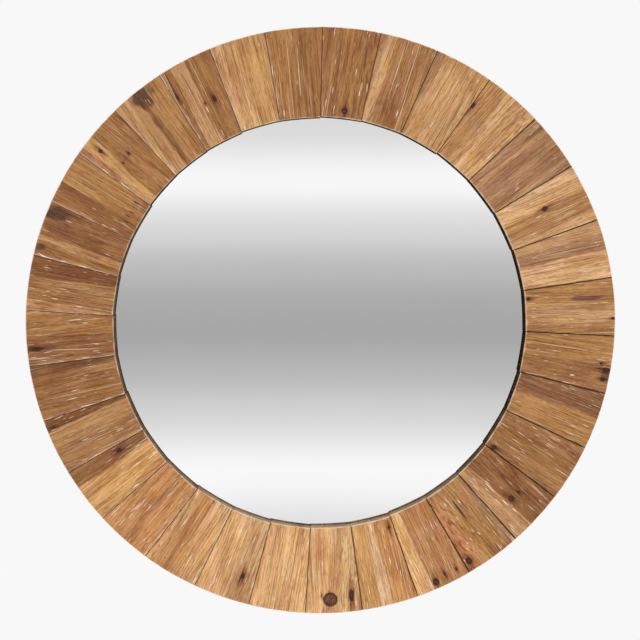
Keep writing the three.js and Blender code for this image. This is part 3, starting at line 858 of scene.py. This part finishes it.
def plain_material(name, base, dark, pattern_mm, roughness, metallic=0, bump=0.3, bump_mm=0.1,
                   detail=4, contrast=(0.35, 0.65)):
    """A finish with a fine pattern of two colours, its own unevenness and roughness."""
    material, node = new_tree(name)
    place = node("TexCoord").outputs["Object"]
    size = (1 / (MM * pattern_mm),) * 3
    scaled = node("VectorMath MULTIPLY", place, size)
    pattern = node("TexNoise", {"Vector": scaled, "Scale": 1, "Detail": detail})
    mask = node("MapRange", {"Value": pattern, "From Min": contrast[0], "From Max": contrast[1]})
    shade = node("Mix", {"Factor": mask, "A": colour(base), "B": colour(dark)}, data_type="RGBA")
    rough = node("MapRange", {"Value": pattern, "To Min": roughness[0], "To Max": roughness[1]})
    looks = {"Base Color": shade, "Roughness": rough, "Metallic": metallic}
    if bump:
        looks["Normal"] = node("Bump", {
            "Height": pattern, "Strength": bump, "Distance": bump_mm * MM,
        })
    node("OutputMaterial", {"Surface": node("BsdfPrincipled", looks)})
    return material


# In metres: the length of hardboard's fibres, the clouds in its colour, and the wires of the
# press's screen. Those are really 1.5 mm apart, and drawn at 9.4 mm so that the weave shows.
FIBRE = 1 / 350
FIBRE_CLOUDS = 1 / 9
SCREEN_WIRES = 3 * math.pi * MM
# The wave texture lays this many waves on a length of 2 pi
WAVES_IN_TURN = 20


def hardboard():
    """Pressed fibreboard with its screen side out: brown, with the press's fine wire weave."""
    material, node = new_tree("Pressed hardboard")
    place = node("TexCoord").outputs["Object"]
    fibres, clouds = (
        node("TexNoise", {
            "Vector": node("VectorMath MULTIPLY", place, (1 / size,) * 3),
            "Scale": 1, "Detail": detail,
        })
        for size, detail in ((FIBRE, 5), (FIBRE_CLOUDS, 4))
    )
    warp, weft = (
        node("TexWave", {
            "Vector": place, "Scale": 2 * math.pi / (WAVES_IN_TURN * SCREEN_WIRES),
            "Distortion": 0.4,
        }, bands_direction=direction).outputs[1]
        for direction in ("X", "Z")
    )
    wires = node("Math MULTIPLY", warp, weft)
    shade = node("Mix", {"Factor": fibres, "A": colour("#8B6848"), "B": colour("#6A4A31")},
                 data_type="RGBA")
    mask = node("MapRange", {"Value": clouds, "From Min": 0.35, "From Max": 0.7, "To Max": 0.6})
    shade = node("Mix", {"Factor": mask, "A": shade, "B": colour("#B59877")},
                 data_type="RGBA", blend_type="MULTIPLY")
    height = node("Math MULTIPLY_ADD", wires, 0.6, fibres)
    relief = node("Bump", {"Height": height, "Strength": 0.5, "Distance": 0.25 * MM})
    rough = node("MapRange", {"Value": fibres, "To Min": 0.7, "To Max": 0.9})
    surface = node("BsdfPrincipled", {"Base Color": shade, "Roughness": rough, "Normal": relief})
    node("OutputMaterial", {"Surface": surface})
    return material


# ---------- Fastenings, in millimetres ----------

# Pan-head screws: the head's radius and height, the shank's radius, and the length
PANEL_SCREW = (3, 1.8, 1.5, 10)
HANGER_SCREW = (3.5, 2, 1.75, 10)
POINT_LENGTH = 2.5
DOME_STEPS = 8
DOME_SHARE = 0.7
RECESS_LENGTH, RECESS_WIDTH, RECESS_DEPTH = 0.58, 0.13, 0.62
SCREW_SEGMENTS = 40

STRAP_WIDTH = 14
STRAP_THICKNESS = 1
STRAP_EDGE = 0.28
STRAP_FOOT = 29.5
WIRE_RADIUS = 1.5
WIRE_SEGMENTS = 24
WIRE_END_GAP = 0.15
KNUCKLE_BORE = 1.8
KNUCKLE_RADIUS = 2.8
CURL_END = math.radians(-115)
LOOP_HALF_WIDTH = 12
LOOP_CORNER = 3.5
LOOP_HEIGHT = 15.5
LOOP_CLEARANCE = 0.3
LOOP_LEAN = math.asin((KNUCKLE_RADIUS - WIRE_RADIUS - LOOP_CLEARANCE) / LOOP_HEIGHT)
HANGER_CENTRE = (254.767, 237.574)
UPPER_SCREW = 7.75
LOWER_SCREW = 22.5


def cross_cutter(half_length, half_width, depth):
    """A cross that narrows as it goes down, to cut a screw's recess. It lies along +y."""
    def ring(length, width, y):
        points, arm = [], [(width, length), (width, width), (length, width)]
        for _ in range(4):
            points += [(x, y, z) for x, z in arm]
            arm = [(z, -x) for x, z in arm]
        return points

    points = ring(half_length, half_width, 1) + ring(half_length * 0.45, half_width * 0.7, -depth)
    faces = [tuple(range(12)), tuple(range(23, 11, -1))]
    faces += [(i, (i + 1) % 12, 12 + (i + 1) % 12, 12 + i) for i in range(12)]
    mesh = mesh_of("cross", np.array(points) * MM, faces)
    tidy(mesh)
    return mesh


def screw_mesh(name, screw, turn, centre, head_base):
    """A pan-head screw with a cross recess. Its head looks at the wall."""
    head_radius, head_height, shank_radius, length = screw
    profile = [(0, -head_height)]
    for step in range(1, DOME_STEPS + 1):
        angle = step / DOME_STEPS * math.pi / 2
        height = head_height * 0.3 + head_height * DOME_SHARE * math.cos(angle)
        profile.append((head_radius * math.sin(angle) * 0.98, -height))
    profile += [
        (head_radius, -head_height * 0.2), (head_radius, -0.05), (head_radius * 0.97, 0),
        (shank_radius, 0), (shank_radius, length - POINT_LENGTH), (0, length),
    ]
    body = bpy.data.objects.new(name + "_blank", turned(name, profile, SCREW_SEGMENTS))
    cutter_mesh = cross_cutter(
        head_radius * RECESS_LENGTH, head_radius * RECESS_WIDTH, head_height * RECESS_DEPTH)
    lift = Matrix.Translation((0, head_height * MM, 0))
    cutter_mesh.transform(lift @ Matrix.Rotation(turn, 4, "Y"))
    cutter = bpy.data.objects.new(name + "_cutter", cutter_mesh)
    for item in (body, cutter):
        scene.collection.objects.link(item)
    cut = body.modifiers.new("recess", "BOOLEAN")
    cut.object = cutter
    cut.solver = "EXACT"
    bpy.context.view_layer.update()
    shaped = body.evaluated_get(bpy.context.evaluated_depsgraph_get())
    result = bpy.data.meshes.new_from_object(shaped)
    result.name = name
    for item in (body, cutter):
        bpy.data.objects.remove(item)
    result.transform(Matrix.Translation((centre[0] * MM, -head_base * MM, centre[1] * MM)))
    tidy(result, 35)
    return result


def swept(name, sections):
    """A closed body through a row of point loops."""
    count = len(sections[0])
    points = [p for section in sections for p in section]
    faces = []
    for start in range(0, (len(sections) - 1) * count, count):
        for step in range(count):
            here, beside = start + step, start + (step + 1) % count
            faces.append((here, beside, beside + count, here + count))
    faces.append(tuple(range(count))[::-1])
    last = (len(sections) - 1) * count
    faces.append(tuple(range(last, last + count)))
    mesh = mesh_of(name, np.array(points) * MM, faces)
    tidy(mesh)
    return mesh


def strap_section(half_width):
    """The strap's cross-section with rounded edges, as (across, through its thickness)."""
    half_thick = STRAP_THICKNESS / 2
    edge = min(STRAP_EDGE, half_width * 0.8)
    quarter = [(math.cos(a), math.sin(a)) for a in np.linspace(0, math.pi / 2, 4)]
    section = []
    for sx, sy in ((1, 1), (-1, 1), (-1, -1), (1, -1)):
        for cx, cy in quarter if sx * sy > 0 else quarter[::-1]:
            section.append((sx * (half_width - edge + cx * edge),
                            sy * (half_thick - edge + cy * edge)))
    return section


def strap_mesh(name, centre):
    """The strap's middle line comes round the wire from its curl, then runs down the board."""
    middle_radius = (KNUCKLE_BORE + KNUCKLE_RADIUS) / 2
    line = []
    for angle in np.linspace(CURL_END, math.pi, 40):
        away = KNUCKLE_RADIUS + middle_radius * math.cos(angle)
        up = middle_radius * math.sin(angle)
        line.append((away, up, math.cos(angle), math.sin(angle)))
    for up in np.linspace(0, -STRAP_FOOT, 90)[1:]:
        line.append((STRAP_THICKNESS / 2, up, -1.0, 0.0))
    sections = []
    for away, up, nx, nz in line:
        half = STRAP_WIDTH / 2
        from_foot = up + STRAP_FOOT
        if from_foot < half:
            half = math.sqrt(max(half ** 2 - (half - from_foot) ** 2, 0.02))
        sections.append([
            (centre[0] + across, -BOARD_BACK + away + thick * nx, centre[1] + up + thick * nz)
            for across, thick in strap_section(half)
        ])
    return swept(name, sections)


def loop_mesh(name, centre):
    """The wire, bent to a D whose ends meet in the knuckle. It leans on the board."""
    across = LOOP_HALF_WIDTH - LOOP_CORNER

    def arc(middle, radius, start, end, count):
        return [(middle + radius * math.cos(a), LOOP_CORNER + radius * math.sin(a))
                for a in np.linspace(start, end, count)]

    line = [(WIRE_END_GAP, 0.0), (across / 2, 0.0)]
    line += arc(across, LOOP_CORNER, -math.pi / 2, 0, 14)
    line += arc(0, LOOP_HALF_WIDTH, 0, math.pi, 60)[1:-1]
    line += arc(-across, LOOP_CORNER, math.pi, 1.5 * math.pi, 14)
    line += [(-across / 2, 0.0), (-WIRE_END_GAP, 0.0)]
    line = np.array(line)
    pace = np.gradient(line, axis=0)
    pace /= np.linalg.norm(pace, axis=1)[:, None]
    sections = []
    for (px, pz), (dx, dz) in zip(line, pace):
        section = []
        for step in range(WIRE_SEGMENTS):
            angle = 2 * math.pi * step / WIRE_SEGMENTS
            out, lift = WIRE_RADIUS * math.cos(angle), WIRE_RADIUS * math.sin(angle)
            section.append((px - dz * out, lift, pz + dx * out))
        sections.append(section)
    mesh = swept(name, sections)
    mesh.transform(Matrix.Rotation(LOOP_LEAN, 4, "X"))
    mesh.transform(Matrix.Translation((
        centre[0] * MM, (-BOARD_BACK + KNUCKLE_RADIUS) * MM, centre[1] * MM,
    )))
    return mesh


# ---------- Materials and pieces ----------

wood = planed_softwood()
for stave_index in range(len(STAVES)):
    build_stave(stave_index, wood)

# Sprayed on pressed fibres: near black and matt. The nap is really 0.3 mm, drawn at 1.2 mm.
black_board = plain_material("Black painted fibreboard", "#1E1B19", "#2C2622", 1.2, (0.75, 0.92))
# Electroplated: a pale grey metal with blurred highlights. Its grain is really 0.1 mm, drawn at
# 1.6 mm so that it shows.
zinc = plain_material("Zinc plated steel", "#B9BDC1", "#8F959B", 1.6, (0.28, 0.46), metallic=1,
                      bump=0.15, bump_mm=0.03)
# Moulded in a blasted tool: dark, with a grain of 0.6 mm that leaves it without a highlight.
rubber = plain_material("Moulded black rubber", "#232325", "#2E2E31", 0.6, (0.7, 0.92), bump=0.4)
# Felted from waste paper: dull grey-brown, in flecks of 2.5 mm where the fibres clump.
card = plain_material("Grey packing card", "#9A8C78", "#86795F", 2.5, (0.85, 0.97))

# Silvered on its back: clear and neutral, so it shows the room as it is, with the faintest haze
# in clouds of 125 mm, as wiping leaves them.
glass = plain_material("Silvered float glass", "#FAFAFA", "#F7F7F7", 125, (0, 0.012), metallic=1,
                       bump=0, detail=2, contrast=(0, 1))

# Every profile's corners are (radius, depth from the wall, easing), in millimetres
board_profile = eased([
    (BOARD_RADIUS, BOARD_BACK, 1.0), (BOARD_RADIUS, STAVE_BACK, 0.4), (LIP_RADIUS, STAVE_BACK, 0.3),
    (LIP_RADIUS, GLASS_FRONT, 0), (GLASS_REBATE_RADIUS, GLASS_FRONT, 0),
    (GLASS_REBATE_RADIUS, PANEL_FRONT, 0), (PANEL_REBATE_RADIUS, PANEL_FRONT, 0),
    (PANEL_REBATE_RADIUS, BOARD_BACK, 0.4),
])
panel_profile = eased([
    (0, BOARD_BACK, 0), (PANEL_RADIUS, BOARD_BACK, 0.5), (PANEL_RADIUS, PANEL_FRONT, 0.2),
    (0, PANEL_FRONT, 0),
])
pad_profile = eased(
    [(0, 0, 0), (PAD_RADIUS, 0, 1.6), (PAD_RADIUS, BOARD_BACK, 0.2), (0, BOARD_BACK, 0)], 8)

add_piece("painted_board", turned("painted_board", board_profile, 288, closed=True), black_board,
          ["backing_board"])
add_piece("hardboard_panel", turned("hardboard_panel", panel_profile, 288), hardboard(),
          ["back_panel"])


def on_circle(radius, angle):
    return radius * math.cos(angle), radius * math.sin(angle)


for side, angle in {"right": 0, "top": 90, "left": 180, "bottom": 270}.items():
    name = "rubber_pad_" + side
    pad = turned(name, pad_profile, 64, on_circle(PAD_CENTRE_RADIUS, math.radians(angle)))
    add_piece(name, pad, rubber, ["wall_pad_" + side])

for number in range(8):
    name = f"panel_crosshead_{number + 1}"
    centre = on_circle(PANEL_SCREW_RADIUS, math.radians(22.5 + 45 * number))
    mesh = screw_mesh(name, PANEL_SCREW, 0.7 * number + 0.3, centre, BOARD_BACK)
    add_piece(name, mesh, zinc, [f"panel_screw_{number + 1}"])

for side, sign in (("left", -1), ("right", 1)):
    centre = (sign * HANGER_CENTRE[0], HANGER_CENTRE[1])
    strap, loop = "rolled_strap_" + side, "wire_loop_" + side
    add_piece(strap, strap_mesh(strap, centre), zinc, ["hanger_strap_" + side])
    add_piece(loop, loop_mesh(loop, centre), zinc, ["hanger_loop_" + side],
              "loop_" + side)
    for number, drop in ((1, UPPER_SCREW), (2, LOWER_SCREW)):
        name = f"hanger_crosshead_{side}_{number}"
        mesh = screw_mesh(name, HANGER_SCREW, 0.9 * number + sign, (centre[0], centre[1] - drop),
                          BOARD_BACK - STRAP_THICKNESS)
        add_piece(name, mesh, zinc, [f"hanger_screw_{side}_{number}"])

for node_name, material in (("mirror_glass", glass), ("packing_card", card)):
    for place in nodes[node_name].material_slots:
        place.material = material

# ---------- Studio ----------

WHITE_BACKDROP = "#F8F8F8"
AMBIENT_STRENGTH = 0.42
ROOM_STRENGTH = 1.05

# What the glass shows: the heights of the studio's soft bands, in degrees, with their greys
ROOM_BANDS = (
    (-40, "#ECECEC"), (-20, "#E0E0E0"), (-12.3, "#DCDCDC"), (-10.55, "#F9F9F9"),
    (-9.2, "#E0E0E0"), (-8.0, "#C5C5C5"), (-6.7, "#ADADAD"), (-5.8, "#A9A9A9"),
    (-4.8, "#B3B3B3"), (-3.7, "#CACACA"), (-2.5, "#E6E6E6"), (-1.55, "#F8F8F8"),
    (-0.2, "#DCDCDC"), (3, "#DEDEDE"), (30, "#F0F0F0"),
)

# Square lamps that look at the mirror: their places and sides in metres, and their watts
LAMPS = (
    ("key", (1.6, -3.4, 2.6), 2.0, 116),
    ("fill", (-2.6, -3.2, 0.4), 2.0, 39),
    ("back", (-0.8, 3.4, 1.8), 1.6, 90),
)

FLOOR_RADIUS = 2200
FLOOR_DROP = 1.2
FLOOR_GLOW = 0.7


def add_world():
    """The glass sees the room's bands, the camera a plain backdrop, and the rest dim white."""
    world = bpy.data.worlds.new("pale studio")
    world.use_nodes = True
    node = cleared(world.node_tree)
    direction = node("TexCoord").outputs["Generated"]
    height = node("SeparateXYZ", {"Vector": direction}).outputs["Z"]
    heights = [math.sin(math.radians(angle)) for angle, _ in ROOM_BANDS]
    lowest, highest = heights[0], heights[-1]
    place = node("MapRange", {"Value": height, "From Min": lowest, "From Max": highest})
    ramp = node("ValToRGB", {"Fac": place})
    stops = ramp.color_ramp
    stops.interpolation = "CARDINAL"
    while len(stops.elements) > 1:
        stops.elements.remove(stops.elements[-1])
    for number, (_, code) in enumerate(ROOM_BANDS):
        share = (heights[number] - lowest) / (highest - lowest)
        stop = stops.elements[0] if number == 0 else stops.elements.new(share)
        stop.position = share
        stop.color = colour(code)
    room = node("Background", {"Color": ramp, "Strength": ROOM_STRENGTH})
    ambient = node("Background", {"Color": colour("#FFFFFF"), "Strength": AMBIENT_STRENGTH})
    backdrop = node("Background", {"Color": colour(WHITE_BACKDROP), "Strength": 1})
    ray = node("LightPath")
    mixed = node("MixShader", ray.outputs["Is Glossy Ray"], ambient, room)
    mixed = node("MixShader", ray.outputs["Is Camera Ray"], mixed, backdrop)
    node("OutputWorld", {"Surface": mixed})
    scene.world = world


def add_lamps():
    for name, place, size, power in LAMPS:
        data = bpy.data.lights.new(name, "AREA")
        data.size = size
        data.energy = power
        lamp = bpy.data.objects.new(name, data)
        lamp.location = place
        lamp.rotation_euler = (-Vector(place)).to_track_quat("-Z", "Y").to_euler()
        lamp.visible_glossy = False
        scene.collection.objects.link(lamp)


def add_floor():
    """A round floor far below, painted matt and lit until it all but meets the backdrop."""
    mesh = turned("floor", [(0, 0), (FLOOR_RADIUS, 0)], 128)
    lay_flat = Matrix.Rotation(math.pi / 2, 4, "X")
    mesh.transform(Matrix.Translation((0, 0, -FLOOR_DROP)) @ lay_flat)
    material, node = new_tree("Pale matt floor")
    painted = node("BsdfDiffuse", {"Color": colour("#E9E9E9")})
    glow = node("Emission", {"Color": colour(WHITE_BACKDROP), "Strength": 1})
    ray = node("LightPath")
    camera_ray, glossy_ray = ray.outputs["Is Camera Ray"], ray.outputs["Is Glossy Ray"]
    seen = node("Math MAXIMUM", camera_ray, glossy_ray)
    share = node("Math MULTIPLY", seen, FLOOR_GLOW)
    mixed = node("MixShader", share, painted, glow)
    node("OutputMaterial", {"Surface": mixed})
    mesh.materials.append(material)
    floor = bpy.data.objects.new("floor", mesh)
    scene.collection.objects.link(floor)


add_world()
add_lamps()
add_floor()
scene.view_settings.view_transform = "Standard"
